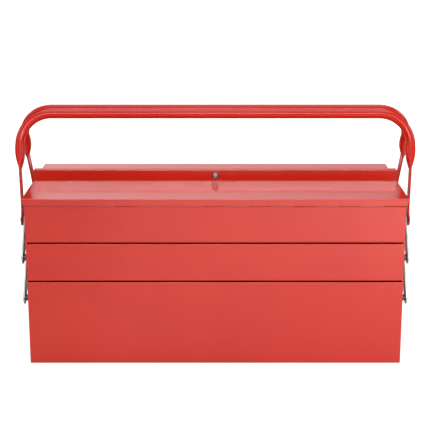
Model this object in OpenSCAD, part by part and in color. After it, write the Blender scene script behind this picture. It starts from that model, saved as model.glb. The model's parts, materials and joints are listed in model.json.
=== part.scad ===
// Cantilever tool box: a deep bottom tray, two tiers of half-depth trays that
// swing out on parallel arms, a hinged lid on each top tray and a tube handle
// on each top tray.  X runs along the box, the front faces -Y, +Z is up, and
// the origin is the middle of the base.

/* [Trays] */
// Width of every tray, over its end panels
tray_w = 530; // [420:5:640]
// Depth of the bottom tray, front to back
box_d = 200; // [184:2:240]
// Height of the bottom tray
bottom_h = 123.5; // [100:0.5:160]
// Height of each middle tray
middle_h = 55.2; // [50:0.2:66]
// Height of each top tray
top_h = 63.4; // [57:0.2:80]
// Gap between a tray's rim and the tray above
stack_gap = 1.2; // [0.8:0.1:2.5]
// Space between the front and the rear upper trays
half_gap = 4; // [3.6:0.2:8]
// Thickness of the tray and lid sheet
sheet_t = 0.8; // [0.6:0.1:1.2]
// Outside radius of the folds along a tray's bottom
fold_r = 3; // [2:0.25:6]
// Height of the hem folded in along a tray's rim
hem_h = 8; // [5:0.5:12]

/* [Lids] */
// Overhang of a lid past the end panels
lid_over_x = 2.5; // [1.5:0.1:4]
// Overhang of a lid past the front or rear wall
lid_over_y = 2.8; // [2.8:0.1:4]
// Air between the tray rim and the lid plate
lid_air = 0.6; // [0.4:0.1:1.5]
// Depth of the rim along the outer edge
rim_h = 10; // [8:0.5:14]
// How far each end of the rim tapers in
rim_taper = 2.3; // [0:0.1:3]
// Depth of the lips along a lid's ends
end_lip_h = 2.5; // [1.5:0.1:4]
// Height of the ridge along the inner edge
ridge_h = 17.3; // [12:0.1:24]
// Width of one lid's half of the ridge
ridge_w = 4.7; // [3.6:0.1:7]
// Gap between the two ridge halves
ridge_gap = 0.6; // [0.6:0.1:1.2]
// Radius of the ridge's ends, seen from the front
ridge_end_r = 3; // [1.5:0.5:6]
// Radius of the folds along the ridge's top
ridge_fold_r = 1.6; // [1:0.1:1.8]
// How far the inner lip reaches below the plate
inner_lip_h = 7; // [3:0.5:8]

/* [Lid hinges] */
// Length of each lid hinge
hinge_len = 527; // [380:1:528]
// Number of knuckles in each lid hinge
knuckles = 17; // [7:2:21]
// Outside radius of a knuckle
knuckle_r = 1.2; // [1.1:0.05:1.3]
// Radius of the hinge pin
hinge_pin_r = 0.6; // [0.4:0.05:0.7]
// Radial play between hinge pin and knuckle
hinge_fit = 0.05; // [0.02:0.01:0.1]
// End play between neighbouring knuckles
knuckle_play = 0.3; // [0.2:0.1:0.6]
// Height of the hinge leaf on the tray wall
leaf_h = 9; // [7:0.5:10]
// Air between a knuckle and the lid's rim
hinge_air = 0.5; // [0.3:0.1:1]

/* [Padlock eyelets] */
// Radius of the hole through an eyelet
eyelet_r = 3.5; // [2.5:0.1:4]
// Wall of the eyelet's barrel
eyelet_t = 0.6; // [0.4:0.1:1]
// Radius of the eyelet's collar
eyelet_collar_r = 5.25; // [4.8:0.05:6]
// Thickness of the eyelet's collar
eyelet_collar_t = 0.8; // [0.5:0.1:1.2]
// Play between the barrel and the hole in the ridge
eyelet_fit = 0.05; // [0.02:0.01:0.1]

/* [Arms] */
// Horizontal reach of an arm over one tier, shut
arm_reach = 30; // [22:1:34]
// How much lower a pivot sits in each tray than in the tray below
pivot_step = 9.4; // [6:0.1:12]
// Thickness of an arm
arm_t = 2; // [1.5:0.1:3]
// Width of the short arms
short_arm_w = 18; // [12:0.5:20]
// Width of the long arms
long_arm_w = 16; // [12:0.5:16]
// Gap between a long arm's edge and the middle plane
long_arm_clear = 0.5; // [0.4:0.1:3]
// Pivot of the short arms behind the front edge
short_pivot_in = 11; // [10:0.5:14]
// Pivot of the lower short arm below the bottom tray's rim
lower_pivot_drop = 27; // [22:0.5:32]
// Pivot of the upper short arm below the middle tray's rim
upper_pivot_drop = 23.2; // [20:0.2:26]
// Pivot of the long arm below the bottom tray's rim
long_pivot_drop = 27; // [24:0.5:30]

/* [Rivets and spacers] */
// Radius of a pivot rivet
rivet_r = 2.5; // [2:0.1:3]
// Radius of a rivet head
head_r = 5; // [4:0.1:5.5]
// Height of an outside rivet head
head_h = 1.4; // [1:0.1:1.6]
// Height of an inside rivet head
tail_h = 1.2; // [0.8:0.1:1.6]
// Radial play of a pivot
pivot_fit = 0.08; // [0.03:0.01:0.1]
// Side play of a piece that turns on a rivet
side_play = 0.15; // [0.1:0.05:0.3]
// Thickness of the washers under the long arms
washer_t = 1; // [0.8:0.1:1.5]
// Outside radius of washers and spacers
spacer_r = 4.5; // [4:0.1:4.8]
// Gap between a long arm's rivet head and the short arms
layer_gap = 0.45; // [0.3:0.05:1]
// Gap between the short arms' rivet heads and the handle straps
strap_gap = 0.95; // [0.5:0.05:2]

/* [Handles] */
// Diameter of the handle tube
tube_d = 13.2; // [11:0.1:16]
// Length of a handle's legs, from the pivot to the middle of the grip
leg_len = 153.6; // [140:0.2:180]
// Gap between the two grips
grip_gap = 0.6; // [0.3:0.1:3]
// How far both handles rest over to the rear, in degrees
grip_tilt = 2.7; // [0:0.1:4]
// Middle of a handle's tube legs past the end panels
leg_out = 18; // [17:0.5:26]
// Radius of the handle's bends, at the tube's middle
bend_r = 44; // [35:1:60]
// Length over which the tube flattens
flatten_len = 30; // [20:1:36]
// How much the tube swells before it flattens
flatten_swell = 0.5; // [0:0.1:1]
// Thickness of the flattened strap
strap_t = 2.4; // [2:0.1:4]
// Width of the flattened strap
strap_w = 18; // [15:0.5:20]
// How far the strap starts inside the tube's middle
strap_inset = 1.8; // [0:0.1:4]
// Straight part of the strap above its pivot
strap_pad = 15; // [11:0.5:25]

/* [Hidden] */
$fn = 48;
eps = 0.01;
left = -1;
right = 1;
paint = [0.82, 0.14, 0.13];
zinc = [0.62, 0.64, 0.63];
steel = [0.75, 0.76, 0.76];

// Heights of the stack
half_d = (box_d - half_gap) / 2;
middle_z = bottom_h + stack_gap;
top_z = middle_z + middle_h + stack_gap;
lid_top = top_z + top_h + lid_air + sheet_t;
ridge_top = lid_top + ridge_h;
lid_half_w = tray_w / 2 + lid_over_x;
front_y = -box_d / 2;
lid_front_y = front_y - lid_over_y;

// Pivots of the front half, each [y, z]
arm_rise = middle_h + stack_gap - pivot_step;
arm_step = [arm_reach, arm_rise];
long_low = [-long_arm_clear - long_arm_w / 2 - 2 * arm_reach, bottom_h - long_pivot_drop];
long_mid = long_low + arm_step;
long_top = long_mid + arm_step;
lower_low = [front_y + short_pivot_in, bottom_h - lower_pivot_drop];
lower_top = lower_low + arm_step;
upper_low = [front_y + short_pivot_in, middle_z + middle_h - upper_pivot_drop];
upper_top = upper_low + arm_step;

// Layers outside an end panel, measured out from its face
long_arm_z = washer_t + side_play;
long_head_z = long_arm_z + arm_t + side_play;
spacer_h = long_head_z + head_h + layer_gap - side_play;
short_arm_z = spacer_h + side_play;
short_head_z = short_arm_z + arm_t + side_play;
strap_z = short_head_z + head_h + strap_gap;
handle_head_z = strap_z + strap_t + side_play;

// Lid hinge axis and the rim above it
hinge_y = lid_front_y + knuckle_r;
rim_foot = lid_top - rim_h;
hinge_z = rim_foot - hinge_air - knuckle_r;
knuckle_pitch = hinge_len / knuckles;

// Handles: a leg is drawn upright from its pivot, then leans inwards until the
// two grips are a tube's diameter and the gap apart
pivot_y = -upper_top[0];
grip_half = (tube_d + grip_gap) / 2;
grip_cross = sqrt(pow(grip_half, 2) - pow(pivot_y * sin(grip_tilt), 2));
mean_lean = asin((pivot_y * cos(grip_tilt) - grip_cross) / leg_len);
front_lean = mean_lean + grip_tilt;
rear_lean = mean_lean - grip_tilt;
leg_x = tray_w / 2 + leg_out;
strap_x = tray_w / 2 + strap_z + strap_t / 2;
strap_top_x = leg_x - strap_inset;
bend_foot = leg_len - bend_r;
strap_head = bend_foot - flatten_len;
loft_sides = 32;
loft_rings = 12;
// How far the loft's ends lap into, and are sunk into, the next pieces
lap = 0.3;
sink = 3;
sunk_tube = 0.95;
sunk_strap = 0.92;
// Roundness of a section: 1 is an ellipse, less is squarer
strap_corner = 0.55;

eyelet_z = lid_top + ridge_h / 2;
eyelet_barrel_r = eyelet_r + eyelet_t;

// Length of the cutters that go right through a wall or a ridge
wall_cut = 8 * sheet_t;
ridge_cut = 4 * ridge_w;
dome_facets = 96;

// ---------- small helpers ----------

// Turns a profile drawn in [y, z] into a bar along X
module along_x(len) {
    rotate([90, 0, 90])
        linear_extrude(len, center = true) children();
}

// Puts children, drawn along +Z, on an end panel at a pivot
module on_end(side, pivot) {
    translate([side * tray_w / 2, pivot[0], pivot[1]])
        rotate([0, side * 90, 0]) children();
}

module both_ends(pivot) {
    for (side = [left, right]) on_end(side, pivot) children();
}

// The rear half is the front half, mirrored
module rear() {
    mirror([0, 1, 0]) children();
}

// Quarter of a ring in the first quadrant
module elbow(r, t) {
    intersection() {
        difference() {
            circle(r);
            circle(r - t);
        }
        square(r);
    }
}

// Plate outline with round lower corners, its foot on the axis
module round_foot(d, h, r) {
    translate([-d / 2, r]) square([d, h - r]);
    translate([-d / 2 + r, 0]) square([d - 2 * r, r + eps]);
    for (side = [-1, 1])
        translate([side * (d / 2 - r), r]) circle(r);
}

module ring(outer, inner, h) {
    difference() {
        cylinder(r = outer, h = h);
        translate([0, 0, -eps]) cylinder(r = inner, h = h + 2 * eps);
    }
}

// Low dome, flat side down
module dome(r, h) {
    ball_r = (r * r + h * h) / (2 * h);
    rotate_extrude()
        intersection() {
            translate([0, h - ball_r]) circle(ball_r, $fn = dome_facets);
            square([r, h]);
        }
}

// ---------- trays ----------

// Section of a tray: folded sheet with a hem turned in at each rim
module tray_section(d, h) {
    difference() {
        round_foot(d, h - sheet_t, fold_r);
        translate([0, sheet_t]) round_foot(d - 2 * sheet_t, h, fold_r - sheet_t);
    }
    for (side = [-1, 1]) {
        translate([side * (d / 2 - sheet_t), h - sheet_t]) circle(sheet_t);
        translate([side * (d / 2 - 1.5 * sheet_t) - sheet_t / 2, h - hem_h])
            square([sheet_t, hem_h - sheet_t]);
    }
}

module end_panel(d, h) {
    translate([tray_w / 2 - sheet_t, 0, 0]) rotate([90, 0, 90])
        linear_extrude(sheet_t) round_foot(d, h - sheet_t, fold_r);
    translate([tray_w / 2 - 2 * sheet_t, -d / 2 + sheet_t, h - hem_h])
        cube([sheet_t + eps, d - 2 * sheet_t, hem_h - sheet_t]);
    translate([tray_w / 2 - sheet_t, 0, h - sheet_t])
        rotate([90, 0, 0]) cylinder(r = sheet_t, h = d - 2 * sheet_t, center = true);
}

module tray_shell(d, h) {
    along_x(tray_w) tray_section(d, h);
    end_panel(d, h);
    mirror([1, 0, 0]) end_panel(d, h);
}

module rivet_holes(pivots) {
    for (pivot = pivots)
        both_ends(pivot)
            cylinder(r = rivet_r + pivot_fit, h = wall_cut, center = true);
}

module bottom_tray() {
    color(paint)
        difference() {
            tray_shell(box_d, bottom_h);
            rivet_holes([long_low, lower_low]);
            rear() rivet_holes([long_low, lower_low]);
        }
}

module middle_tray() {
    color(paint)
        difference() {
            translate([0, -(half_gap + half_d) / 2, middle_z]) tray_shell(half_d, middle_h);
            rivet_holes([long_mid, lower_top, upper_low]);
        }
}

module top_tray() {
    color(paint)
        difference() {
            translate([0, -(half_gap + half_d) / 2, top_z]) tray_shell(half_d, top_h);
            rivet_holes([long_top, upper_top]);
        }
}

// ---------- lids ----------

// Solid outline of a ridge half in [y, z], grown inwards by a wall
module ridge_outline(wall) {
    w = ridge_w - 2 * wall;
    r = ridge_fold_r - wall;
    top = ridge_top - wall;
    foot = wall > 0 ? lid_top - rim_h : lid_top - sheet_t;
    translate([-ridge_gap / 2 - ridge_w + wall, 0]) {
        translate([0, foot]) square([w, top - r - foot]);
        translate([r, top - r - eps]) square([w - 2 * r, r + eps]);
        for (y = [r, w - r]) translate([y, top - r]) circle(r);
    }
}

// Outline of the ridge seen from the front, with round upper corners
module ridge_front(wall) {
    half = lid_half_w - wall;
    r = ridge_end_r - wall;
    top = ridge_top - wall;
    foot = lid_top - rim_h - eps;
    translate([-half, foot]) square([2 * half, top - r - foot]);
    translate([-half + r, top - r - eps]) square([2 * (half - r), r + eps]);
    for (side = [-1, 1]) translate([side * (half - r), top - r]) circle(r);
}

module ridge_body(wall) {
    intersection() {
        along_x(2 * lid_half_w) ridge_outline(wall);
        rotate([90, 0, 0]) linear_extrude(ridge_cut, center = true) ridge_front(wall);
    }
}

// Front rim, seen from the front, with tapered ends
module rim_outline() {
    polygon([
        [-lid_half_w, lid_top - ridge_fold_r],
        [-lid_half_w + rim_taper, rim_foot],
        [lid_half_w - rim_taper, rim_foot],
        [lid_half_w, lid_top - ridge_fold_r]
    ]);
}

module lid_sheet() {
    // plate, from the rim's fold to the ridge
    plate_y = lid_front_y + ridge_fold_r;
    ridge_y = -ridge_gap / 2 - ridge_w;
    translate([-lid_half_w, plate_y, lid_top - sheet_t])
        cube([2 * lid_half_w, ridge_y + sheet_t - plate_y, sheet_t]);
    // fold and rim
    translate([0, plate_y, lid_top - ridge_fold_r])
        along_x(2 * lid_half_w) mirror([1, 0]) elbow(ridge_fold_r, sheet_t);
    translate([0, lid_front_y + sheet_t, 0])
        rotate([90, 0, 0]) linear_extrude(sheet_t) rim_outline();
    // lips along both ends
    for (side = [-1, 1])
        translate([side * (lid_half_w - sheet_t / 2) - sheet_t / 2, plate_y, lid_top - end_lip_h])
            cube([sheet_t, ridge_y - plate_y, end_lip_h - sheet_t / 2]);
    // ridge, open below, and the lip that hangs between the trays
    difference() {
        ridge_body(0);
        ridge_body(sheet_t);
    }
    translate([-tray_w / 2, -ridge_gap / 2 - sheet_t, lid_top - sheet_t - inner_lip_h])
        cube([tray_w, sheet_t, inner_lip_h + sheet_t]);
}

module knuckle_span(index) {
    translate([(index + 0.5) * knuckle_pitch - hinge_len / 2, 0, 0])
        along_x(knuckle_pitch - knuckle_play) children();
}

module knuckle_section(foot_from, foot_to) {
    difference() {
        translate([hinge_y, hinge_z]) union() {
            circle(knuckle_r);
            translate([foot_from, 0]) square([foot_to - foot_from, rim_foot + 2 * eps - hinge_z]);
        }
        translate([hinge_y, hinge_z]) circle(hinge_pin_r + hinge_fit);
    }
}

module front_lid() {
    color(paint)
        difference() {
            union() {
                lid_sheet();
                for (index = [1 : 2 : knuckles - 2])
                    knuckle_span(index) knuckle_section(-knuckle_r, sheet_t - knuckle_r);
            }
            translate([0, 0, eyelet_z]) rotate([90, 0, 0])
                cylinder(r = eyelet_barrel_r + eyelet_fit, h = ridge_cut, center = true);
        }
}

module hinge_leaf() {
    color(zinc) {
        for (index = [0 : 2 : knuckles - 1])
            knuckle_span(index) knuckle_section(knuckle_r - sheet_t, front_y - hinge_y);
        translate([-hinge_len / 2, front_y - sheet_t, rim_foot])
            cube([hinge_len, sheet_t, leaf_h - (rim_foot - hinge_z)]);
    }
}

module hinge_pin() {
    color(steel)
        translate([0, hinge_y, hinge_z]) rotate([0, 90, 0])
            cylinder(r = hinge_pin_r, h = hinge_len, center = true);
}

// Eyelet: a barrel through the ridge half with a rolled collar outside
module eyelet() {
    color(steel)
        translate([0, -ridge_gap / 2, eyelet_z]) rotate([90, 0, 0])
            rotate_extrude() {
                translate([eyelet_r, 0]) square([eyelet_t, ridge_w + eyelet_collar_t / 2]);
                translate([eyelet_r + eyelet_collar_t / 2, ridge_w])
                    square([eyelet_collar_r - eyelet_r - eyelet_collar_t, eyelet_collar_t]);
                for (r = [eyelet_r, eyelet_collar_r - eyelet_collar_t])
                    translate([r + eyelet_collar_t / 2, ridge_w + eyelet_collar_t / 2])
                        circle(eyelet_collar_t / 2);
            }
}

// ---------- arms ----------

// Flat arm with round ends, from the first pivot to the last
module arm(side, pivots, width, layer) {
    first = pivots[0];
    run = pivots[len(pivots) - 1] - first;
    turn = atan2(run[1], run[0]);
    x = tray_w / 2 + layer + arm_t / 2;
    color(zinc)
        translate([side * x, 0, 0]) along_x(arm_t)
            difference() {
                translate(first) rotate(turn) {
                    translate([0, -width / 2]) square([norm(run), width]);
                    circle(width / 2);
                    translate([norm(run), 0]) circle(width / 2);
                }
                for (pivot = pivots) translate(pivot) circle(rivet_r + pivot_fit);
            }
}

module long_arm(side) {
    arm(side, [long_low, long_mid, long_top], long_arm_w, long_arm_z);
}

module lower_arm(side) {
    arm(side, [lower_low, lower_top], short_arm_w, short_arm_z);
}

module upper_arm(side) {
    arm(side, [upper_low, upper_top], short_arm_w, short_arm_z);
}

// ---------- rivets and spacers ----------

module rivet(pivot, head_z) {
    color(steel)
        both_ends(pivot) {
            translate([0, 0, -sheet_t]) cylinder(r = rivet_r, h = sheet_t + head_z);
            translate([0, 0, head_z]) dome(head_r, head_h);
            translate([0, 0, -sheet_t]) mirror([0, 0, 1]) dome(head_r, tail_h);
        }
}

module spacer(pivot, h) {
    color(steel)
        both_ends(pivot) ring(spacer_r, rivet_r + pivot_fit, h);
}

module bottom_rivets() {
    rivet(long_low, long_head_z);
    rivet(lower_low, short_head_z);
    rear() rivet(long_low, long_head_z);
    rear() rivet(lower_low, short_head_z);
}

module bottom_spacers() {
    spacer(long_low, washer_t);
    spacer(lower_low, spacer_h);
    rear() spacer(long_low, washer_t);
    rear() spacer(lower_low, spacer_h);
}

module middle_rivets() {
    rivet(long_mid, long_head_z);
    rivet(lower_top, short_head_z);
    rivet(upper_low, short_head_z);
}

module middle_spacers() {
    spacer(long_mid, washer_t);
    spacer(lower_top, spacer_h);
    spacer(upper_low, spacer_h);
}

module top_rivets() {
    rivet(long_top, long_head_z);
    rivet(upper_top, handle_head_z);
}

module top_spacers() {
    spacer(long_top, washer_t);
    spacer(upper_top, spacer_h);
}

module handle_washers() {
    color(steel)
        both_ends(upper_top)
            translate([0, 0, short_head_z])
                ring(spacer_r, rivet_r + pivot_fit, strap_z - side_play - short_head_z);
}

// ---------- handles ----------

function ease(t) = t * t * (3 - 2 * t);
function mix(a, b, t) = a + (b - a) * t;
function lobe(v, power) = sign(v) * pow(abs(v), power);

// One closed section of the leg: a circle at t = 0, a flat strap at t = 1
function leg_ring(x, z, t, grow = 1) = [
    for (i = [0 : loft_sides - 1])
        let (a = 360 * i / loft_sides,
             power = mix(1, strap_corner, t),
             half_t = mix(tube_d, strap_t, t * t) / 2 + flatten_swell * sin(180 * t),
             half_w = mix(tube_d, strap_w, ease(t)) / 2)
        [x + lobe(cos(a), power) * half_t * grow, lobe(sin(a), power) * half_w * grow, z]
];

// Skin over a stack of equal rings, from the top down, closed at both ends
module skin(rings) {
    n = len(rings[0]);
    last = len(rings) - 1;
    polyhedron(
        points = [for (ring_points = rings) each ring_points],
        faces = [
            [for (i = [n - 1 : -1 : 0]) i],
            for (k = [0 : last - 1], i = [0 : n - 1])
                let (j = (i + 1) % n)
                [k * n + i, k * n + j, k * n + n + j, k * n + n + i],
            [for (i = [0 : n - 1]) last * n + i]
        ]
    );
}

// The leg from the bend to the strap's straight pad: the tube flattens, then
// runs in towards the end panel.  Both of its ends are sunk into the next piece.
module flattened_leg() {
    flatten = [
        for (k = [0 : loft_rings])
            let (t = k / loft_rings)
            leg_ring(mix(leg_x, strap_top_x, t * t), mix(bend_foot - lap, strap_head, t), t)
    ];
    skin(concat(
        [leg_ring(leg_x, bend_foot + sink, 0, sunk_tube)],
        flatten,
        [leg_ring(strap_x, strap_pad + lap, 1)],
        [leg_ring(strap_x, strap_pad - sink, 1, sunk_strap)]
    ));
}

module handle_leg() {
    flattened_leg();
    // straight pad with its pivot hole
    translate([strap_x, 0, 0])
        along_x(strap_t)
            difference() {
                union() {
                    circle(strap_w / 2);
                    translate([-strap_w / 2, 0]) square([strap_w, strap_pad]);
                }
                circle(rivet_r + pivot_fit);
            }
    // bend
    translate([leg_x - bend_r, 0, bend_foot])
        rotate([90, 0, 0])
            rotate_extrude(angle = 90) translate([bend_r, 0]) circle(tube_d / 2);
}

module handle(lean) {
    color(paint)
        translate([0, upper_top[0], upper_top[1]])
            rotate([-lean, 0, 0]) {
                handle_leg();
                mirror([1, 0, 0]) handle_leg();
                translate([0, 0, leg_len]) rotate([0, 90, 0])
                    cylinder(d = tube_d, h = 2 * (leg_x - bend_r), center = true);
            }
}

// ---------- nodes ----------

bottom_tray();
middle_tray();  // front_middle_tray
rear() middle_tray();  // rear_middle_tray
top_tray();  // front_top_tray
rear() top_tray();  // rear_top_tray
front_lid();
rear() front_lid();  // rear_lid
hinge_leaf();  // front_hinge_leaf
rear() hinge_leaf();  // rear_hinge_leaf
hinge_pin();  // front_hinge_pin
rear() hinge_pin();  // rear_hinge_pin
eyelet();  // front_eyelet
rear() eyelet();  // rear_eyelet
handle(front_lean);  // front_handle
rear() handle(rear_lean);  // rear_handle
long_arm(left);  // front_left_long_arm
long_arm(right);  // front_right_long_arm
rear() long_arm(left);  // rear_left_long_arm
rear() long_arm(right);  // rear_right_long_arm
lower_arm(left);  // front_left_lower_arm
lower_arm(right);  // front_right_lower_arm
rear() lower_arm(left);  // rear_left_lower_arm
rear() lower_arm(right);  // rear_right_lower_arm
upper_arm(left);  // front_left_upper_arm
upper_arm(right);  // front_right_upper_arm
rear() upper_arm(left);  // rear_left_upper_arm
rear() upper_arm(right);  // rear_right_upper_arm
bottom_rivets();
middle_rivets();  // front_middle_rivets
rear() middle_rivets();  // rear_middle_rivets
top_rivets();  // front_top_rivets
rear() top_rivets();  // rear_top_rivets
bottom_spacers();
middle_spacers();  // front_middle_spacers
rear() middle_spacers();  // rear_middle_spacers
top_spacers();  // front_top_spacers
rear() top_spacers();  // rear_top_spacers
handle_washers();  // front_handle_washers
rear() handle_washers();  // rear_handle_washers
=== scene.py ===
"""Dresses the cantilever tool box: enamelled trays and lids, bent tube handles, plated arms and rivets.

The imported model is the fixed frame. Trays, lids, hinges and spacers keep their solids and get their
finishes here. Handles, arms, rivets and eyelets are drawn again as smooth surfaces in the same places.
"""

import json
import logging
import math
from dataclasses import dataclass, field
from enum import Enum

import bmesh
import bpy
import numpy as np
from mathutils import Euler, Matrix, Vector


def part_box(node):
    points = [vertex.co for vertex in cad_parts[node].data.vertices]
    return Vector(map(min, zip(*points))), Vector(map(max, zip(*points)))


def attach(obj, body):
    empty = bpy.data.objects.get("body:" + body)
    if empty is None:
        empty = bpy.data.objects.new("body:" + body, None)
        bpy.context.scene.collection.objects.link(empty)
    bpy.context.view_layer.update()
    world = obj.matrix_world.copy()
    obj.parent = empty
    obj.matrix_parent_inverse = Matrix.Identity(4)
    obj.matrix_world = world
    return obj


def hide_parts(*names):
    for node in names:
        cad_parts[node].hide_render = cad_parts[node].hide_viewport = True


log = logging.getLogger("tool_box")
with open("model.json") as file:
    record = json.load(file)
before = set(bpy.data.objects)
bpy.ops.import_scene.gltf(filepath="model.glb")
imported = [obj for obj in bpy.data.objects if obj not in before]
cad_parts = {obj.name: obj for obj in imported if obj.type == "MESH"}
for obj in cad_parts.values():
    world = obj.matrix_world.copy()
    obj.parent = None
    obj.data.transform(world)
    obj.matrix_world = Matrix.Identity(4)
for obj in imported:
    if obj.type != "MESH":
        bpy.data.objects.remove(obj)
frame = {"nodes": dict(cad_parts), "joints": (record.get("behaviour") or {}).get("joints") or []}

MM = 0.001
WELD_GAP = 1e-6

Vector3 = tuple[float, float, float]
Colour = tuple[float, float, float]
Surface = tuple[np.ndarray, np.ndarray]
Socket = bpy.types.NodeSocket


# ---------- meshes ----------


def mesh_object(name: str, points: np.ndarray, faces: np.ndarray, smooth: bool = True) -> bpy.types.Object:
    """Puts points and quads into a new mesh object at the origin.

    Args:
        name: The object's name.
        points: Corner positions in metres, one row each.
        faces: Rows of four corner indices.
        smooth: Whether the faces are shaded smooth.

    Returns:
        The linked object.
    """
    mesh = bpy.data.meshes.new(name)
    mesh.vertices.add(len(points))
    mesh.vertices.foreach_set("co", np.asarray(points, np.float32).ravel())
    mesh.loops.add(faces.size)
    mesh.loops.foreach_set("vertex_index", faces.astype(np.int32).ravel())
    mesh.polygons.add(len(faces))
    mesh.polygons.foreach_set("loop_start", np.arange(0, faces.size, 4, dtype=np.int32))
    mesh.polygons.foreach_set("use_smooth", np.full(len(faces), smooth))
    mesh.update(calc_edges=True)
    mesh.validate()
    built = bpy.data.objects.new(name, mesh)
    bpy.context.scene.collection.objects.link(built)
    return built


def grid_faces(rows: int, columns: int, close_rows: bool, close_columns: bool) -> np.ndarray:
    """Quads of a grid whose corner (i, j) is number i * columns + j.

    Args:
        rows: Corners along the first direction.
        columns: Corners along the second direction.
        close_rows: Whether the last row joins the first.
        close_columns: Whether the last column joins the first.

    Returns:
        An array of four indices per quad.
    """
    i = np.arange(rows if close_rows else rows - 1)[:, None]
    j = np.arange(columns if close_columns else columns - 1)[None, :]
    down, across = (i + 1) % rows, (j + 1) % columns
    corners = [i * columns + j, i * columns + across, down * columns + across, down * columns + j]
    return np.stack(np.broadcast_arrays(*corners), axis=-1).reshape(-1, 4)


def joined(parts: list[Surface]) -> Surface:
    """Several surfaces as one, each part's corner numbers moved past those of the parts before it.

    Args:
        parts: The surfaces, each as points and faces.

    Returns:
        The points and the faces.
    """
    starts = np.cumsum([0] + [len(points) for points, _ in parts[:-1]])
    points = np.concatenate([points for points, _ in parts])
    faces = np.concatenate([faces + start for (_, faces), start in zip(parts, starts)])
    return points, faces


def revolved(profile: np.ndarray, centre: Vector3, axis: np.ndarray, sides: int, closed: bool) -> Surface:
    """A profile turned about an axis: point = centre + h * axis + r * (cos a * u + sin a * v).

    Args:
        profile: Rows of (r, h), with h along the axis.
        centre: A point on the axis.
        axis: Unit direction of the axis.
        sides: Number of steps round the axis.
        closed: Whether the profile's last point joins its first.

    Returns:
        The points and the faces.
    """
    # Any direction well off the axis will do to find the two that are square to it.
    helper = np.array([0.0, 0.0, 1.0]) if abs(axis[2]) < 0.9 else np.array([1.0, 0.0, 0.0])
    u = np.cross(helper, axis)
    u /= np.linalg.norm(u)
    v = np.cross(axis, u)
    a = np.linspace(0, 2 * math.pi, sides, endpoint=False)[None, :, None]
    r, h = profile[:, 0][:, None, None], profile[:, 1][:, None, None]
    points = np.asarray(centre) + h * axis + r * (np.cos(a) * u + np.sin(a) * v)
    return points.reshape(-1, 3), grid_faces(len(profile), sides, closed, True)


def welded(piece: bpy.types.Object) -> bpy.types.Object:
    """Merges doubled corners, which closes seams and poles, and turns all faces outwards.

    Args:
        piece: The object to weld.

    Returns:
        The same object.
    """
    work = bmesh.new()
    work.from_mesh(piece.data)
    bmesh.ops.remove_doubles(work, verts=work.verts, dist=WELD_GAP)
    bmesh.ops.recalc_face_normals(work, faces=work.faces)
    work.to_mesh(piece.data)
    work.free()
    return piece


# ---------- finishes ----------


@dataclass(frozen=True)
class Grain:
    """A noise pattern: how many features lie on a metre, and how many finer layers lie on them."""

    scale: float
    detail: float


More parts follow.
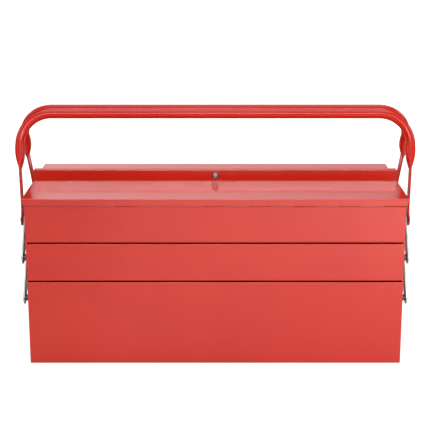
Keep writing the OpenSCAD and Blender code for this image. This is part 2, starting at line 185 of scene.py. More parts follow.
class NodeSheet:
    """The node tree of a material or of the world, with short calls for adding and joining nodes."""

    # A Mix node's colour sockets share their names with its other sockets, so they go by number.
    MIX_FIRST = 6
    MIX_SECOND = 7
    MIX_RESULT = 2

    def __init__(self, owner: bpy.types.Material | bpy.types.World) -> None:
        """Empties the owner's node tree.

        Args:
            owner: The new material or world.
        """
        owner.use_nodes = True
        self.owner = owner
        self.tree = owner.node_tree
        self.tree.nodes.clear()

    @classmethod
    def of(cls, name: str) -> "NodeSheet":
        """The empty sheet of a new material with that name."""
        return cls(bpy.data.materials.new(name))

    def feed(self, socket: Socket, value: object) -> None:
        """Joins an output to an input socket, or sets the input's own value.

        Args:
            socket: The input socket.
            value: An output socket, or a plain value.
        """
        if isinstance(value, Socket):
            self.tree.links.new(value, socket)
        else:
            socket.default_value = value

    def add(self, kind: str, settings: dict[str, object] | None = None, **inputs: object) -> bpy.types.Node:
        """Adds a node.

        Args:
            kind: Its type, without the ShaderNode prefix.
            settings: Attributes to set on the node.
            inputs: Input values or output sockets by input name, with _ for a space.

        Returns:
            The node.
        """
        node = self.tree.nodes.new("ShaderNode" + kind)
        for key, value in (settings or {}).items():
            setattr(node, key, value)
        for key, value in inputs.items():
            self.feed(node.inputs[key.replace("_", " ")], value)
        return node

    def worked(self, operation: str, *values: Socket | float) -> Socket:
        """The result of a Math node.

        Args:
            operation: The node's operation.
            values: Its inputs in order.

        Returns:
            The socket with the result.
        """
        node = self.add("Math", {"operation": operation})
        for socket, value in zip(node.inputs, values):
            self.feed(socket, value)
        return node.outputs[0]

    def place(self, stretch: Vector3 = (1.0, 1.0, 1.0)) -> Socket:
        """Object coordinates, scaled by a factor along each axis."""
        place = self.add("TexCoord").outputs["Object"]
        return self.add("Mapping", Vector=place, Scale=stretch).outputs["Vector"]

    def along(self, place: Socket, axis: str) -> Socket:
        """One coordinate of a place, by its letter."""
        return self.add("SeparateXYZ", Vector=place).outputs[axis]

    def noise(self, place: Socket, grain: Grain) -> Socket:
        """A noise pattern's value at a place, about 0.5 on average."""
        return self.add("TexNoise", Vector=place, Scale=grain.scale, Detail=grain.detail).outputs["Fac"]

    def spread(self, value: Socket, low: float, high: float, start: float = 0.35, end: float = 0.65) -> Socket:
        """Takes a value's range start..end to low..high, held at both ends.

        Args:
            value: The value, a noise pattern unless start and end are given.
            low: The result at start and before it.
            high: The result at end and past it.
            start: Where the range starts.
            end: Where the range ends.

        Returns:
            The socket with the result.
        """
        node = self.add("MapRange", {"clamp": True}, Value=value, From_Min=start, From_Max=end,
                        To_Min=low, To_Max=high)
        return node.outputs["Result"]

    def blend(self, share: Socket, first: Socket | Colour, second: Colour) -> Socket:
        """A colour between two.

        Args:
            share: How much of the second colour shows, from 0 to 1.
            first: The first colour, plain or from another node.
            second: The second colour.

        Returns:
            The socket with the colour.
        """
        node = self.add("Mix", {"data_type": "RGBA"}, Factor=share)
        self.feed(node.inputs[self.MIX_FIRST], first if isinstance(first, Socket) else (*first, 1.0))
        self.feed(node.inputs[self.MIX_SECOND], (*second, 1.0))
        return node.outputs[self.MIX_RESULT]

    def bump(self, height: Socket, depth: float, under: Socket | None = None) -> Socket:
        """The normal of relief, on another relief's normal or on none: a height of 1 is depth in metres."""
        below = {} if under is None else {"Normal": under}
        return self.add("Bump", Strength=1.0, Distance=depth, Height=height, **below).outputs["Normal"]

    def close(self, shader: bpy.types.Node) -> bpy.types.Material | bpy.types.World:
        """Joins the shader to the output.

        Args:
            shader: The last shader node.

        Returns:
            The finished material or world.
        """
        output = "OutputWorld" if isinstance(self.owner, bpy.types.World) else "OutputMaterial"
        self.add(output, Surface=shader.outputs[0])
        return self.owner


@dataclass(frozen=True)
class Enamel:
    """Sprayed and baked gloss enamel with a fine orange peel.

    The colour drifts to the shade, and the base's roughness between its two values. Depths are in metres.
    Upright faces above the height lean_above look as if they lean back by the slope lean, up to lean_reach
    higher. At the height crease_at runs a dark line of painted shade, crease_t high, in place of the
    shadow in a gap.
    """

    name: str
    colour: Colour = (0.62, 0.016, 0.002)
    shade: Colour = (0.57, 0.012, 0.001)
    roughness: tuple[float, float] = (0.36, 0.44)
    specular: float = 0.15
    coat: float = 1.0
    coat_ior: float = 1.5
    coat_roughness: float = 0.1
    drift: Grain = Grain(5.0, 3.0)
    patches: Grain = Grain(38.0, 4.0)
    waves: Grain = Grain(7.0, 1.0)
    waves_depth: float = 8e-5
    peel: Grain = Grain(420.0, 1.5)
    peel_depth: float = 5e-6
    fold_r: float = 1.2 * MM
    fold_samples: int = 6
    lean_above: float | None = None
    lean: float = math.tan(math.radians(5))
    lean_reach: float = 0.1
    # Painted shade: a thin dark line in place of the shadow in the gap under a lid's rim.
    crease_at: float | None = None
    crease_t: float = 0.6 * MM
    crease: Colour = (0.12, 0.006, 0.002)

    def folds(self, sheet: NodeSheet) -> Socket:
        """Softens every fold and edge to the bend radius of the sheet."""
        return sheet.add("Bevel", {"samples": self.fold_samples}, Radius=self.fold_r).outputs["Normal"]

    def leaning(self, sheet: NodeSheet, place: Socket, under: Socket | None) -> Socket:
        """Relief that leans upright faces back above a height: relief = -lean * (z - that height).

        Args:
            sheet: The node tree to add to.
            place: Object coordinates.
            under: The normal of the relief below, if there is one.

        Returns:
            The socket with the normal.
        """
        back = sheet.spread(sheet.along(place, "Z"), 0.0, -self.lean_reach * self.lean,
                            self.lean_above, self.lean_above + self.lean_reach)
        return sheet.bump(back, 1.0, under)

    def relief(self, sheet: NodeSheet, place: Socket) -> Socket:
        """Rounded folds, then the lean, then slow waves of the sheet, then the orange peel.

        Args:
            sheet: The node tree to add to.
            place: Object coordinates.

        Returns:
            The socket with the normal.
        """
        normal = self.folds(sheet) if self.fold_r else None
        if self.lean_above is not None:
            normal = self.leaning(sheet, place, normal)
        normal = sheet.bump(sheet.noise(place, self.waves), self.waves_depth, normal)
        return sheet.bump(sheet.noise(place, self.peel), self.peel_depth, normal)

    def tint(self, sheet: NodeSheet, place: Socket) -> Socket:
        """Two reds that drift, with a dark line of painted shade where |z - crease_at| is at most half of
        crease_t.

        Args:
            sheet: The node tree to add to.
            place: Object coordinates.

        Returns:
            The socket with the colour.
        """
        drift = sheet.spread(sheet.noise(place, self.drift), 0.0, 1.0)
        red = sheet.blend(drift, self.colour, self.shade)
        if self.crease_at is None:
            return red
        # Painted shade: a thin dark band in place of the shadow in the gap under a lid's rim.
        line = sheet.worked("COMPARE", sheet.along(place, "Z"), self.crease_at, self.crease_t / 2)
        return sheet.blend(line, red, self.crease)

    def build(self) -> bpy.types.Material:
        """Makes the material: patchy red under a clear gloss.

        Returns:
            The material.
        """
        sheet = NodeSheet.of(self.name)
        place = sheet.place()
        gloss = sheet.spread(sheet.noise(place, self.patches), *self.roughness)
        normal = self.relief(sheet, place)
        shader = sheet.add(
            "BsdfPrincipled", Base_Color=self.tint(sheet, place), Roughness=gloss, Normal=normal,
            Coat_Weight=self.coat, Coat_Roughness=self.coat_roughness, Coat_IOR=self.coat_ior,
            Coat_Normal=normal, Specular_IOR_Level=self.specular)
        return sheet.close(shader)


@dataclass(frozen=True)
class Plating:
    """Thin bright plating on steel, with rolling marks along one direction."""

    name: str
    colour: Colour = (0.46, 0.49, 0.48)
    stain: Colour = (0.32, 0.35, 0.34)
    roughness: tuple[float, float] = (0.26, 0.44)
    mottle: Grain = Grain(90.0, 5.0)
    marks: Grain = Grain(900.0, 3.0)
    marks_depth: float = 4e-6
    marks_stretch: Vector3 = (1.0, 0.06, 1.0)

    def build(self) -> bpy.types.Material:
        """Makes the material: a mottled grey metal with fine rolling marks.

        Returns:
            The material.
        """
        sheet = NodeSheet.of(self.name)
        mottle = sheet.spread(sheet.noise(sheet.place(), self.mottle), 0.0, 1.0)
        marks = sheet.noise(sheet.place(self.marks_stretch), self.marks)
        shader = sheet.add(
            "BsdfPrincipled", Base_Color=sheet.blend(mottle, self.colour, self.stain), Metallic=1.0,
            Roughness=sheet.spread(marks, *self.roughness), Normal=sheet.bump(marks, self.marks_depth))
        return sheet.close(shader)


class Finish(Enum):
    """The finishes of the tool box.

    Those of the redrawn pieces bear the names of the record's slots. LID and SPACER go on solids only,
    which keep the slots that they have.
    """

    SHEET = "painted_sheet"
    LID = "painted_lid"
    TUBE = "painted_tube"
    ARM = "zinc_arm"
    RIVET = "rivet_steel"
    SPACER = "spacer_steel"
    HINGE = "hinge_metal"
    EYELET = "eyelet_metal"


@dataclass
class Paintshop:
    """Makes each finish once and puts it on pieces.

    The ridge starts ridge_gap above the top tray. Between a lid's rim and its hinge knuckles, as high as the
    air over the knuckles beside it, runs a line of painted shade.
    """

    ridge_gap: float = 2 * MM
    knuckle_d: float = 2.4 * MM
    knuckle_air: float = 0.5 * MM
    materials: dict[Finish, bpy.types.Material] = field(init=False)

    def __post_init__(self) -> None:
        """Makes every finish."""
        ridge_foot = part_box("front_top_tray")[1].z + self.ridge_gap
        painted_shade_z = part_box("front_lid")[0].z + self.knuckle_d + self.knuckle_air / 2
        recipes = {
            Finish.SHEET: Enamel("red_sheet_enamel"),
            # The lid's enamel paints a dark line of shade at the foot of its rim.
            Finish.LID: Enamel("red_lid_enamel", specular=0.02, coat_ior=1.6, coat_roughness=0.13,
                               peel_depth=2e-6, lean_above=ridge_foot, crease_at=painted_shade_z),
            Finish.TUBE: Enamel("red_tube_enamel", (0.61, 0.013, 0.002), (0.56, 0.009, 0.001),
                                specular=0.0, coat=0.65, coat_roughness=0.18, waves_depth=0.0,
                                peel_depth=2e-7, fold_r=0.0),
            Finish.ARM: Plating("zinc_plated_arm"),
            Finish.RIVET: Plating("zinc_plated_rivet", (0.36, 0.37, 0.36), (0.25, 0.26, 0.25), (0.26, 0.4)),
            # Steel spacers and washers, darkened to near black as painted shade for the gaps between arms and
            # trays.
            Finish.SPACER: Plating("dull_steel_spacer", (0.13, 0.13, 0.13), (0.07, 0.07, 0.07), (0.4, 0.6)),
            Finish.HINGE: Enamel("red_hinge_enamel", waves_depth=0.0),
            Finish.EYELET: Plating("nickel_eyelet", (0.17, 0.15, 0.13), (0.1, 0.09, 0.08), (0.16, 0.3)),
        }
        self.materials = {finish: recipe.build() for finish, recipe in recipes.items()}

    def paint_node(self, node: str, finish: Finish) -> None:
        """Gives a solid one finish through its object's slots.

        Args:
            node: The solid's name.
            finish: Its finish.
        """
        for slot in frame["nodes"][node].material_slots:
            slot.material = self.materials[finish]
        log.info("%s: %s", node, finish.value)

    def fit(self, piece: bpy.types.Object, body: str, finish: Finish, replaced: str) -> None:
        """Paints a new piece, sets it riding on its body and puts it in place of a solid.

        Args:
            piece: The new piece.
            body: The body that carries it.
            finish: Its finish.
            replaced: The solid that it stands for.
        """
        piece.data.materials.append(self.materials[finish])
        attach(piece, body)
        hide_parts(replaced)
        log.info("%s: %s", piece.name, finish.value)


# ---------- the linkage's pivots ----------


class Half(Enum):
    """The two halves of the box, with the sign of their Y."""

    FRONT = -1
    REAR = 1

    @property
    def label(self) -> str:
        """The half's word in node, joint and body names."""
        return self.name.lower()


@dataclass(frozen=True)
class Pivots:
    """Where one half's arms and handle turn, as (y, z) in metres."""

    long_low: np.ndarray
    long_mid: np.ndarray
    long_top: np.ndarray
    lower_low: np.ndarray
    lower_top: np.ndarray
    upper_low: np.ndarray
    upper_top: np.ndarray

    @classmethod
    def of(cls, half: Half) -> "Pivots":
        """Reads a half's pivots from the joints' anchors.

        The lower short arm is parallel to the long arm's lower part and as long.

        Args:
            half: The half of the box.

        Returns:
            The half's pivots.
        """
        anchors = {joint["name"]: np.array(joint["pos_m"][1:]) for joint in frame["joints"]}
        names = ("spread", "middle_level", "top_level", "lower_swing", "upper_swing", "handle_pivot")
        low, mid, top, lower, upper, handle = (anchors[f"{half.label}_{name}"] for name in names)
        return cls(low, mid, top, lower, lower + (mid - low), upper, handle)


# ---------- handles ----------


@dataclass
class Handle:
    """A carrying handle: a bent tube whose legs flatten into pivot straps.

    A strap is upright at strap_x up to pad_len above its pivot. From there it leans out, and ends
    strap_inset inside the leg's middle. Where the tube flattens, its middle moves in by swell_inward and
    each side swells by swell + swell_inward.
    """

    half: Half
    tube_d: float = 13.2 * MM
    leg_x: float = 283 * MM
    bend_r: float = 44 * MM
    flatten_len: float = 35.5 * MM
    swell: float = 0.5 * MM
    swell_inward: float = 0.8 * MM
    strap_t: float = 2.4 * MM
    strap_w: float = 18 * MM
    strap_inset: float = 1.8 * MM
    strap_x: float = 275.85 * MM
    pad_len: float = 15 * MM
    corner: float = 0.42
    tip_rows: int = 12
    strap_rows: int = 26
    flatten_rows: int = 33
    bend_rows: int = 29
    sides: int = 48

    def leg_frame(self) -> tuple[np.ndarray, float, np.ndarray]:
        """Where a leg stands in the end view.

        Returns:
            The pivot as (y, z), the leg's length up to the grip's middle, and its unit direction as (y, z).
        """
        pivot = Pivots.of(self.half).upper_top
        low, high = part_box(f"{self.half.label}_handle")
        grip_y = high.y - self.tube_d / 2 if self.half is Half.FRONT else low.y + self.tube_d / 2
        run = np.array([grip_y, high.z - self.tube_d / 2]) - pivot
        return pivot, float(np.linalg.norm(run)), run / np.linalg.norm(run)

    def half_path(self, leg_len: float) -> np.ndarray:
        """Stations from the strap's tip to the end of the bend.

        Each is (x, v, half thickness, half width, corner): v is measured up the leg from the pivot, and
        corner is the power of the section's superellipse. The tip is a quarter circle and the strap a
        straight line. Where the tube flattens, t falls from 1 at the strap to 0: x and the thickness follow
        t * t, the width follows t * t * (3 - 2 * t), and the sides swell by sin(pi * t). The bend is an arc.

        Args:
            leg_len: Length from the pivot to the middle of the grip.

        Returns:
            One row per station.
        """
        bend_foot = leg_len - self.bend_r
        strap_head = bend_foot - self.flatten_len
        strap_top_x = self.leg_x - self.strap_inset
        end_t, end_r, tube_r = self.strap_t / 2, self.strap_w / 2, self.tube_d / 2

        a = np.linspace(0, math.pi / 2, self.tip_rows)
        tip = np.column_stack([
            np.full(self.tip_rows, self.strap_x), -end_r * np.cos(a), np.full(self.tip_rows, end_t),
            np.maximum(end_r * np.sin(a), WELD_GAP), np.full(self.tip_rows, self.corner)])

        rise = np.linspace(0, 1, self.strap_rows)[:, None]
        pad_top = np.array([self.strap_x, self.pad_len, end_t, end_r, self.corner])
        strap_top = np.array([strap_top_x, strap_head, end_t, end_r, self.corner])
        strap = pad_top + (strap_top - pad_top) * rise

        t = np.linspace(1, 0, self.flatten_rows + 1)[1:]
        ease = t * t * (3 - 2 * t)
        bulge = np.sin(math.pi * t)
        leg = np.column_stack([
            self.leg_x + (strap_top_x - self.leg_x) * t * t - self.swell_inward * bulge,
            bend_foot + (strap_head - bend_foot) * t,
            tube_r + (end_t - tube_r) * t * t + (self.swell + self.swell_inward) * bulge,
            tube_r + (end_r - tube_r) * ease,
            1 + (self.corner - 1) * t])

        a = np.linspace(0, math.pi / 2, self.bend_rows + 1)[1:]
        bend = np.column_stack([
            self.leg_x - self.bend_r + self.bend_r * np.cos(a), bend_foot + self.bend_r * np.sin(a),
            np.tile([tube_r, tube_r, 1.0], (self.bend_rows, 1))])
        return np.concatenate([tip, strap, leg, bend])

    def surface(self) -> bpy.types.Object:
        """Carries a superellipse section along the path and its mirror image, square to the path.

        At the angle a the section reaches half thickness * cos(a)^corner and half width * sin(a)^corner.

        Returns:
            The handle's object.
        """
        pivot, leg_len, up = self.leg_frame()
        stations = self.half_path(leg_len)
        path = np.concatenate([stations * np.array([-1, 1, 1, 1, 1]), stations[::-1]])
        centre, power = path[:, :2], path[:, 4][:, None]
        tangent = np.gradient(centre, axis=0)
        tangent /= np.linalg.norm(tangent, axis=1)[:, None]
        normal = np.column_stack([tangent[:, 1], -tangent[:, 0]])
        a = np.linspace(0, 2 * math.pi, self.sides, endpoint=False)
        across = np.sign(np.cos(a)) * np.abs(np.cos(a)) ** power * path[:, 2][:, None]
        along = np.sign(np.sin(a)) * np.abs(np.sin(a)) ** power * path[:, 3][:, None]
        flat = centre[:, None, :] + normal[:, None, :] * across[:, :, None]
        y = pivot[0] + flat[:, :, 1] * up[0] - along * up[1]
        z = pivot[1] + flat[:, :, 1] * up[1] + along * up[0]
        points = np.stack([flat[:, :, 0], y, z], axis=-1).reshape(-1, 3)
        faces = grid_faces(len(path), self.sides, False, True)
        return welded(mesh_object(f"{self.half.label}_tube_handle", points, faces))

    def build(self, shop: Paintshop) -> None:
        """Builds, paints and fits the handle."""
        shop.fit(self.surface(), f"{self.half.label}_handle_body", Finish.TUBE, f"{self.half.label}_handle")


# ---------- arms ----------


@dataclass
class ArmPlate:
    """A flat arm with round ends and softly rounded edges, between two pivots given as (y, z).

    On each face a ring of corners lies at face_row of the end's radius, so that the face is shaded flat.
    """

    node: str
    body: str
    first: np.ndarray
    last: np.ndarray
    edge_r: float = 0.45 * MM
    edge_rows: int = 5
    face_row: float = 0.6
    sides: int = 96

    def surface(self) -> bpy.types.Object:
        """The plate as a ring of profiles: point = pivot + out * way, lifted across the thickness.

        The way turns once round. The pivot is the last one while the way points towards it, and else the
        first. Out and lift run over one face, round a quarter circle at its edge, and back over the other.

        Returns:
            The arm's object.
        """
        low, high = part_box(self.node)
        thick, middle = high.x - low.x, (low.x + high.x) / 2
        run = self.last - self.first
        length = np.linalg.norm(run)
        run = run / length
        cross = np.array([-run[1], run[0]])
        reach = (high.z - low.z - abs(self.last[1] - self.first[1])) / 2

        a = np.linspace(0, 2 * math.pi, self.sides, endpoint=False)
        spine = self.first + run * length * (np.cos(a) < 0)[:, None]
        way = np.sin(a)[:, None] * cross - np.cos(a)[:, None] * run
        edge = np.linspace(0, math.pi / 2, self.edge_rows)
        out = np.concatenate([[0.0, self.face_row * reach], reach - self.edge_r * (1 - np.sin(edge))])
        lift = np.concatenate([[0.5, 0.5], 0.5 - self.edge_r / thick * (1 - np.cos(edge))])
        out = np.concatenate([out, out[::-1]])
        lift = np.concatenate([lift, -lift[::-1]])
        flat = spine[:, None, :] + way[:, None, :] * out[None, :, None]
        x = middle + thick * np.broadcast_to(lift, flat.shape[:2])
        points = np.concatenate([x[:, :, None], flat], axis=-1).reshape(-1, 3)
        return welded(mesh_object(f"{self.node}_plate", points, grid_faces(self.sides, len(out), True, False)))

    def build(self, shop: Paintshop) -> None:
        """Builds, plates and fits the arm."""
        shop.fit(self.surface(), self.body, Finish.ARM, self.node)


# ---------- rivets and eyelets ----------


@dataclass(frozen=True)
class EndWall:
    """The end panels' outside, and how far each layer's rivet heads sit out from it."""

    x: float = 265 * MM
    long_head: float = 3.3 * MM
    short_head: float = 7.3 * MM
    handle_head: float = 12.2 * MM


@dataclass
class RivetRow:
    """The rivets of one tray, a pair at each pivot, with peened heads outside and low heads inside."""

    node: str
    body: str
    pivots: list[tuple[np.ndarray, float]]
    wall: EndWall
    shank_r: float = 2.5 * MM
    head_r: float = 5 * MM
    head_h: float = 1.4 * MM
    tail_h: float = 1.2 * MM
    sheet_t: float = 0.8 * MM
    dimple: float = 0.22 * MM
    dimple_r: float = 1 * MM
    dome_power: float = 2.4
    dome_root: float = 0.6
    dome_rows: int = 14
    sides: int = 40

    def profile(self, head_z: float) -> np.ndarray:
        """One rivet's section. Each head rises by its height * (1 - (r / head_r)^dome_power)^dome_root.

        The outer head is lowered by dimple * exp(-(r / dimple_r)^2).

        Args:
            head_z: How far out the outer head sits.

        Returns:
            Rows of (r, h), with h outwards from the wall.
        """
        r = self.head_r * np.sin(np.linspace(0, math.pi / 2, self.dome_rows))
        dome = (1 - (r / self.head_r) ** self.dome_power) ** self.dome_root
        head = head_z + self.head_h * dome - self.dimple * np.exp(-((r / self.dimple_r) ** 2))
        tail = -self.sheet_t - self.tail_h * dome
        shank = np.array([[self.shank_r, head_z], [self.shank_r, -self.sheet_t]])
        return np.concatenate([np.column_stack([r, head]), shank, np.column_stack([r, tail])[::-1]])

    def build(self, shop: Paintshop) -> None:
        """Builds, plates and fits the tray's rivets as one piece.

        Args:
            shop: The finishes.
        """
        parts = [
            revolved(self.profile(head_z), (side * self.wall.x, *pivot), np.array([side, 0.0, 0.0]),
                     self.sides, False)
            for pivot, head_z in self.pivots for side in (-1, 1)
        ]
        piece = welded(mesh_object(f"{self.node}_peened", *joined(parts)))
        shop.fit(piece, self.body, Finish.RIVET, self.node)


@dataclass
class Eyelet:
    """A padlock eyelet: a barrel through the ridge with a rolled collar."""

    half: Half
    hole_r: float = 3.5 * MM
    wall: float = 0.6 * MM
    collar_r: float = 5.25 * MM
    collar_t: float = 0.8 * MM
    roll_rows: int = 15
    sides: int = 64

    def surface(self, node: str) -> bpy.types.Object:
        """Turns a closed section about the eyelet's axis: a straight barrel, a roll and a straight back.

        The roll rises by collar_t * sin(a) while its radius runs from hole_r to collar_r with cos(a).

        Args:
            node: The solid whose place it takes.

        Returns:
            The eyelet's object.
        """
        low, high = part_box(node)
        depth = (high.y - low.y) - self.collar_t
        start = high.y if self.half is Half.FRONT else low.y
        a = np.linspace(math.pi, 0, self.roll_rows)
        roll_r = (self.collar_r - self.hole_r) / 2
        barrel = np.array([[self.hole_r, 0.0], [self.hole_r, depth / 2]])
        roll = np.column_stack([self.hole_r + roll_r + roll_r * np.cos(a), depth + self.collar_t * np.sin(a)])
        back = np.array([[self.hole_r + self.wall, depth], [self.hole_r + self.wall, 0.0]])
        centre, axis = (0.0, start, (low.z + high.z) / 2), np.array([0.0, float(self.half.value), 0.0])
        turned = revolved(np.concatenate([barrel, roll, back]), centre, axis, self.sides, True)
        return welded(mesh_object(f"{node}_rolled", *turned))

    def build(self, shop: Paintshop) -> None:
        """Builds, plates and fits the eyelet."""
        node = f"{self.half.label}_eyelet"
        shop.fit(self.surface(node), f"{self.half.label}_lid_body", Finish.EYELET, node)


# ---------- the box ----------


@dataclass
class BottomBox:
    """The bottom tray with the rivets that carry both halves."""

    wall: EndWall = EndWall()

    def build(self, shop: Paintshop) -> None:
        """Dresses the bottom tray.

        Args:
            shop: The finishes.
        """
        shop.paint_node("bottom_tray", Finish.SHEET)
        shop.paint_node("bottom_spacers", Finish.SPACER)
        pivots = []
        for half in Half:
            at = Pivots.of(half)
            pivots += [(at.long_low, self.wall.long_head), (at.lower_low, self.wall.short_head)]
        RivetRow("bottom_rivets", "base", pivots, self.wall).build(shop)


@dataclass
class HalfBox:
    """One half's moving pieces: trays, lid, hinge, eyelet, handle, arms and rivets."""

    half: Half
    wall: EndWall = EndWall()

    def solids(self) -> dict[str, Finish]:
        """The half's solids that keep their shape.

        Returns:
            Their names without the half's word, each with its finish.
        """
        return {
            "middle_tray": Finish.SHEET, "top_tray": Finish.SHEET, "lid": Finish.LID,
            "hinge_leaf": Finish.HINGE, "hinge_pin": Finish.RIVET,
            "middle_spacers": Finish.SPACER, "top_spacers": Finish.SPACER, "handle_washers": Finish.SPACER,
        }

    def arms(self) -> list[ArmPlate]:
        """The half's six arms.

        Returns:
            The arms, not yet built.
        """
        word, at = self.half.label, Pivots.of(self.half)
        kinds = (("long", at.long_low, at.long_top), ("lower", at.lower_low, at.lower_top),
                 ("upper", at.upper_low, at.upper_top))
        return [ArmPlate(f"{word}_{side}_{kind}_arm", f"{word}_{kind}_arms", first, last)
                for kind, first, last in kinds for side in ("left", "right")]

    def rivets(self) -> list[RivetRow]:
        """The rivets of the half's two trays.

        Returns:
            The two rows, not yet built.
        """
        word, at, wall = self.half.label, Pivots.of(self.half), self.wall
        middle = [(at.long_mid, wall.long_head), (at.lower_top, wall.short_head),
                  (at.upper_low, wall.short_head)]
        top = [(at.long_top, wall.long_head), (at.upper_top, wall.handle_head)]
        return [RivetRow(f"{word}_middle_rivets", f"{word}_middle", middle, wall),
                RivetRow(f"{word}_top_rivets", f"{word}_top", top, wall)]

    def build(self, shop: Paintshop) -> None:
        """Dresses the half.

        Args:
            shop: The finishes.
        """
        for name, finish in self.solids().items():
            shop.paint_node(f"{self.half.label}_{name}", finish)
        for piece in (*self.arms(), *self.rivets(), Eyelet(self.half), Handle(self.half)):
            piece.build(shop)


# ---------- studio ----------


def look(place: Vector3, aim: Vector3) -> Euler:
    """The turn of something whose -Z points at a goal.

    Args:
        place: Where it is.
        aim: The goal.

    Returns:
        The turn.
    """
    return (Vector(aim) - Vector(place)).to_track_quat("-Z", "Y").to_euler()


@dataclass(frozen=True)
class SoftBox:
    """A soft studio lamp: a plain rectangle of light."""

    name: str
    place: Vector3
    aim: Vector3
    size: tuple[float, float]
    power: float

    def build(self) -> None:
        """Adds the lamp, turned to its aim and hidden from the camera."""
        data = bpy.data.lights.new(self.name, "AREA")
        data.shape = "RECTANGLE"
        data.size, data.size_y = self.size
        data.energy = self.power
        lamp = bpy.data.objects.new(self.name, data)
        lamp.location = self.place
        lamp.rotation_euler = look(self.place, self.aim)
        lamp.visible_camera = False
        bpy.context.scene.collection.objects.link(lamp)


@dataclass
class Studio:
    """Floor, white surround, lamps, dark curtains and camera.

    The floor glows by floor_glow's first value near the box and by its second further off, between the
    distances glow_reach. In the gloss it counts floor_in_gloss, from left to right over gloss_reach. The
    curtains thin out above curtain_fade of their height, and the gauze thickens to the right. The
    camera's sensor and lens are in millimetres, its pitch is in degrees below level, and its shift is a
    share of the picture's width.
    """

    lamps: tuple[SoftBox, ...] = (
        SoftBox("table_right", (0.65, -0.8, 0.4), (0.55, -0.8, 0.0), (0.5, 0.5), 4.6),
        SoftBox("front_tall", (0.0, -1.75, 1.75), (0.0, 0.0, 0.3), (0.4, 0.9), 3.0),
        SoftBox("front_strip", (0.0, -1.9, 1.156), (0.0, 0.0, 0.25), (1.8, 0.18), 20.0),
        SoftBox("overhead", (0.0, 0.2, 2.3), (0.0, 0.0, 0.2), (2.2, 1.4), 20.0),
        SoftBox("back_fill", (0.0, 1.8, 1.5), (0.0, 0.0, 0.1), (2.0, 0.6), 11.0),
        SoftBox("right_fill", (1.6, 0.1, 0.9), (0.0, 0.0, 0.15), (0.6, 0.6), 4.0),
        SoftBox("left_fill", (-1.6, 0.15, 0.9), (0.0, 0.0, 0.15), (0.6, 0.6), 3.5),
    )
    fill: float = 0.15
    floor_size: float = 24.0
    floor_colour: Colour = (0.82, 0.8, 0.77)
    floor_glow: tuple[float, float] = (0.6, 0.88)
    glow_reach: tuple[float, float] = (0.4, 2.0)
    floor_in_gloss: tuple[float, float] = (0.1, 0.62)
    gloss_reach: tuple[float, float] = (-0.32, -0.14)
    black: Colour = (0.02, 0.02, 0.02)
    curtain_low: float = 0.085
    curtain_high: float = 0.72
    curtain_fade: float = 0.75
    gauze: float = 0.35
    side_high: float = 1.15
    side_x: float = 1.9
    front_y: float = -2.2
    back_y: float = 1.2
    back_gap: float = 0.492
    camera_sensor: float = 36.0
    camera_place: Vector3 = (-0.0004, -1.4662, 0.6323)
    camera_pitch: float = 13.083
    camera_lens: float = 85.92
    camera_shift: float = -65 / 430

    def seen_directly(self, sheet: NodeSheet, in_gloss: Socket | float = 1.0) -> Socket:
        """1 for camera and transmission rays, in_gloss for glossy rays, 0 for the rest.

        Args:
            sheet: The node tree to add to.
            in_gloss: The value for glossy rays.

        Returns:
            The socket with the value.
        """
        path = sheet.add("LightPath")
        value = sheet.worked("MULTIPLY", path.outputs["Is Glossy Ray"], in_gloss)
        for ray in ("Is Camera Ray", "Is Transmission Ray"):
            value = sheet.worked("MAXIMUM", value, path.outputs[ray])
        return value

    def build_world(self) -> None:
        """A white surround, dimmer where it lights the box."""
        world = bpy.data.worlds.new("studio_surround")
        sheet = NodeSheet(world)
        strength = sheet.spread(self.seen_directly(sheet), self.fill, 1.0, 0.0, 1.0)
        sheet.close(sheet.add("Background", Color=(1.0, 1.0, 1.0, 1.0), Strength=strength))
        bpy.context.scene.world = world

    def build_floor(self) -> None:
        """A pale floor that takes the box's shadow and glows to white further off, where the lamps fade."""
        half = self.floor_size / 2
        corners = np.array([[-half, -half, 0], [half, -half, 0], [half, half, 0], [-half, half, 0]])
        floor = mesh_object("studio_floor", corners, np.array([[0, 1, 2, 3]]), smooth=False)
        sheet = NodeSheet.of("studio_floor")
        place = sheet.place()
        in_gloss = sheet.spread(sheet.along(place, "X"), *self.floor_in_gloss, *self.gloss_reach)
        away = sheet.add("VectorMath", {"operation": "LENGTH"}, Vector=place).outputs["Value"]
        glow = sheet.worked("MULTIPLY", self.seen_directly(sheet, in_gloss),
                            sheet.spread(away, *self.floor_glow, *self.glow_reach))
        both = sheet.add("AddShader")
        sheet.feed(both.inputs[0], sheet.add("BsdfDiffuse", Color=(*self.floor_colour, 1.0)).outputs[0])
        sheet.feed(both.inputs[1], sheet.add("Emission", Strength=glow).outputs[0])
        floor.data.materials.append(sheet.close(both))

    def cloth(self, name: str, axis: str, cover: tuple[float, float],
              run: tuple[float, float]) -> bpy.types.Material:
        """Black cloth whose cover changes evenly over part of its width or height.

        Args:
            name: The material's name.
            axis: X for the width, Y for the height.
            cover: The share of what is behind that it covers, before the run and after it.
            run: Where the change starts and ends, as shares of the width or height.

        Returns:
            The material.
        """
        sheet = NodeSheet.of(name)
        across = sheet.along(sheet.add("UVMap").outputs["UV"], axis)
        mixed = sheet.add("MixShader", Fac=sheet.spread(across, *cover, *run))
        sheet.feed(mixed.inputs[1], sheet.add("BsdfTransparent").outputs[0])
        sheet.feed(mixed.inputs[2], sheet.add("BsdfDiffuse", Color=(*self.black, 1.0)).outputs[0])
        return sheet.close(mixed)

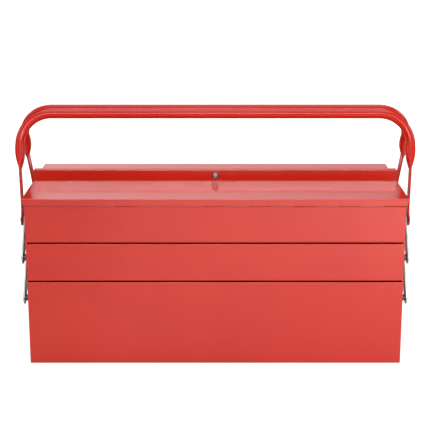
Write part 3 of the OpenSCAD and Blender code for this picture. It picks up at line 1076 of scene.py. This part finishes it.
    def hang(self, name: str, start: tuple[float, float], end: tuple[float, float], low: float, high: float,
             cloth: bpy.types.Material) -> None:
        """Hangs an upright sheet that only shows in the gloss.

        Args:
            name: The sheet's name.
            start: Its left edge on the floor plan, as (x, y).
            end: Its right edge on the floor plan, as (x, y).
            low: Height of its lower edge.
            high: Height of its upper edge.
            cloth: Its material.
        """
        corners = np.array([[*start, low], [*end, low], [*end, high], [*start, high]])
        curtain = mesh_object(name, corners, np.array([[0, 1, 2, 3]]), smooth=False)
        uv = curtain.data.uv_layers.new(name="UVMap")
        uv.data.foreach_set("uv", np.array([0, 0, 1, 0, 1, 1, 0, 1], np.float32))
        curtain.data.materials.append(cloth)
        curtain.visible_camera = False
        curtain.visible_diffuse = False
        curtain.visible_shadow = False

    def build_curtains(self) -> None:
        """Dark curtains behind on both sides, along the sides and in front, and a gauze in the gap behind."""
        black = self.cloth("studio_curtain", "Y", (1.0, 0.0), (self.curtain_fade, 1.0))
        gauze = self.cloth("studio_gauze", "X", (0.0, self.gauze), (0.0, 1.0))
        for side, word in ((-1, "left"), (1, "right")):
            inner, outer = (side * self.back_gap, self.back_y), (side * self.side_x, self.back_y)
            front = (side * self.side_x, self.front_y)
            self.hang(f"studio_curtain_back_{word}", inner, outer, 0.0, self.side_high, black)
            self.hang(f"studio_curtain_{word}", outer, front, 0.0, self.side_high, black)
        self.hang("studio_curtain_front", (-self.side_x, self.front_y), (self.side_x, self.front_y),
                  self.curtain_low, self.curtain_high, black)
        self.hang("studio_gauze", (-self.back_gap, self.back_y), (self.back_gap, self.back_y),
                  0.0, self.side_high, gauze)

    def build_camera(self) -> None:
        """The camera, a little above the lids and looking slightly down."""
        data = bpy.data.cameras.new("camera")
        data.sensor_width = self.camera_sensor
        data.lens = self.camera_lens
        data.shift_y = self.camera_shift
        camera = bpy.data.objects.new("camera", data)
        camera.location = self.camera_place
        camera.rotation_euler = (math.radians(90 - self.camera_pitch), 0.0, 0.0)
        bpy.context.scene.collection.objects.link(camera)
        bpy.context.scene.camera = camera

    def build(self) -> None:
        """Sets up the whole studio."""
        bpy.context.scene.view_settings.view_transform = "Standard"
        self.build_world()
        self.build_floor()
        self.build_curtains()
        for lamp in self.lamps:
            lamp.build()
        self.build_camera()
        log.info("studio: floor, curtains, %d lamps and camera", len(self.lamps))


def main() -> None:
    """Builds the studio and the dressed tool box."""
    logging.basicConfig(level=logging.INFO, format="%(message)s")
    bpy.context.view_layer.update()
    Studio().build()
    shop = Paintshop()
    BottomBox().build(shop)
    for half in Half:
        HalfBox(half).build(shop)


if __name__ == "__main__":
    main()
